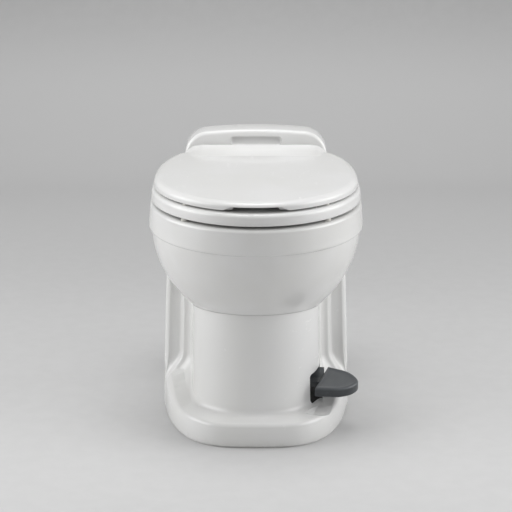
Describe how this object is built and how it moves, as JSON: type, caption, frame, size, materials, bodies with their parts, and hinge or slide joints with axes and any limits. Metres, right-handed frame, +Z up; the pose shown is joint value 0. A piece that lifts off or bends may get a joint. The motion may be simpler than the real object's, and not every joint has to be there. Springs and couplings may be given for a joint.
{
  "type": "foot-flush travel toilet",
  "caption": "Low travel toilet with a china bowl on a moulded pedestal, hinged seat and lid, and a foot pedal geared to a ball flush valve.",
  "frame": {"origin": "centre of the waste outlet, where the spigot meets the floor", "axes": "+Z up, -Y towards the front of the bowl, +X towards the foot pedal"},
  "size_m": [0.381, 0.4975, 0.491],
  "materials": {
    "vitreous_china": "glossy fired glaze, white",
    "white_shell": "glossy moulded white",
    "white_seat": "glossy moulded white",
    "white_trim": "glossy moulded white",
    "soft_white": "soft white rubber",
    "dark_grey": "matt dark grey moulding",
    "valve_resin": "matt off-white moulding",
    "bearing_resin": "waxy cream moulding",
    "float_resin": "matt amber moulding",
    "steel": "brushed stainless",
    "lever_steel": "stamped and tumbled",
    "ball_steel": "smooth satin",
    "black_rubber": "matt black rubber"
  },
  "bodies": {
    "pedestal": {"base_shell": "white_shell", "bowl": "vitreous_china", "bowl_gasket": "black_rubber", "ball_seal": "black_rubber", "valve_body": "valve_resin", "valve_screws": "steel", "clamp_half_front": "valve_resin", "clamp_half_rear": "valve_resin", "clamp_screws": "steel", "shaft_bushes": "bearing_resin", "pivot_bracket": "steel", "bracket_screws": "steel", "pivot_pin": "steel", "pivot_clip": "steel", "return_spring": "steel", "water_valve": "valve_resin", "supply_hose": "black_rubber", "hose_clamps": "steel", "vacuum_breaker": "valve_resin", "breaker_cap": "valve_resin", "rim_tube": "black_rubber", "hinge_pin": "steel", "hinge_posts": "white_trim", "hinge_bolts": "steel", "hinge_nuts": "valve_resin", "floor_seal": "black_rubber"},
    "seat": {"seat_ring": "white_seat", "seat_bumpers": "soft_white"},
    "lid": {"lid": "white_seat", "lid_bumpers": "soft_white"},
    "pedal": {"pedal_lever": "lever_steel", "pedal_pad": "dark_grey", "pad_screws": "steel"},
    "ball": {"flush_ball": "ball_steel", "ball_shaft": "steel", "stub_axle": "steel"},
    "plunger": {"valve_plunger": "steel"},
    "float": {"breaker_float": "float_resin"},
    "inlet_nut": {"swivel_nut": "steel"}
  },
  "joints": [
    {"name": "seat_hinge", "type": "hinge", "parent": "pedestal", "child": "seat", "pos_m": [0, 0.176, 0.453], "axis": [-1, 0, 0], "range_deg": [0, 98]},
    {"name": "lid_hinge", "type": "hinge", "parent": "seat", "child": "lid", "pos_m": [0, 0.176, 0.453], "axis": [1, 0, 0], "range_deg": [-98, 0]},
    {"name": "pedal_pivot", "type": "hinge", "parent": "pedestal", "child": "pedal", "pos_m": [0, 0.095, 0.0982], "axis": [1, 0, 0], "range_deg": [0, 7.8], "stiffness_Nm_per_rad": 8, "springref_deg": -8.02, "deforming": ["return_spring"]},
    {"name": "ball_turn", "type": "hinge", "parent": "pedestal", "child": "ball", "pos_m": [0, 0, 0.112], "axis": [1, 0, 0], "range_deg": [-86, 0]},
    {"name": "plunger_slide", "type": "slide", "parent": "pedestal", "child": "plunger", "axis": [0, 0, 1], "range_m": [0, 0.0056]},
    {"name": "float_lift", "type": "slide", "parent": "pedestal", "child": "float", "axis": [0, 0, 1], "range_m": [0, 0.003]},
    {"name": "nut_spin", "type": "hinge", "parent": "pedestal", "child": "inlet_nut", "pos_m": [0.086, 0.2, 0.1387], "axis": [0, 1, 0], "continuous": true}
  ],
  "couplings": [
    {"joint": "ball_turn", "follows": "pedal_pivot", "ratio": -11},
    {"joint": "plunger_slide", "follows": "pedal_pivot", "m_per_rad": 0.04}
  ]
}
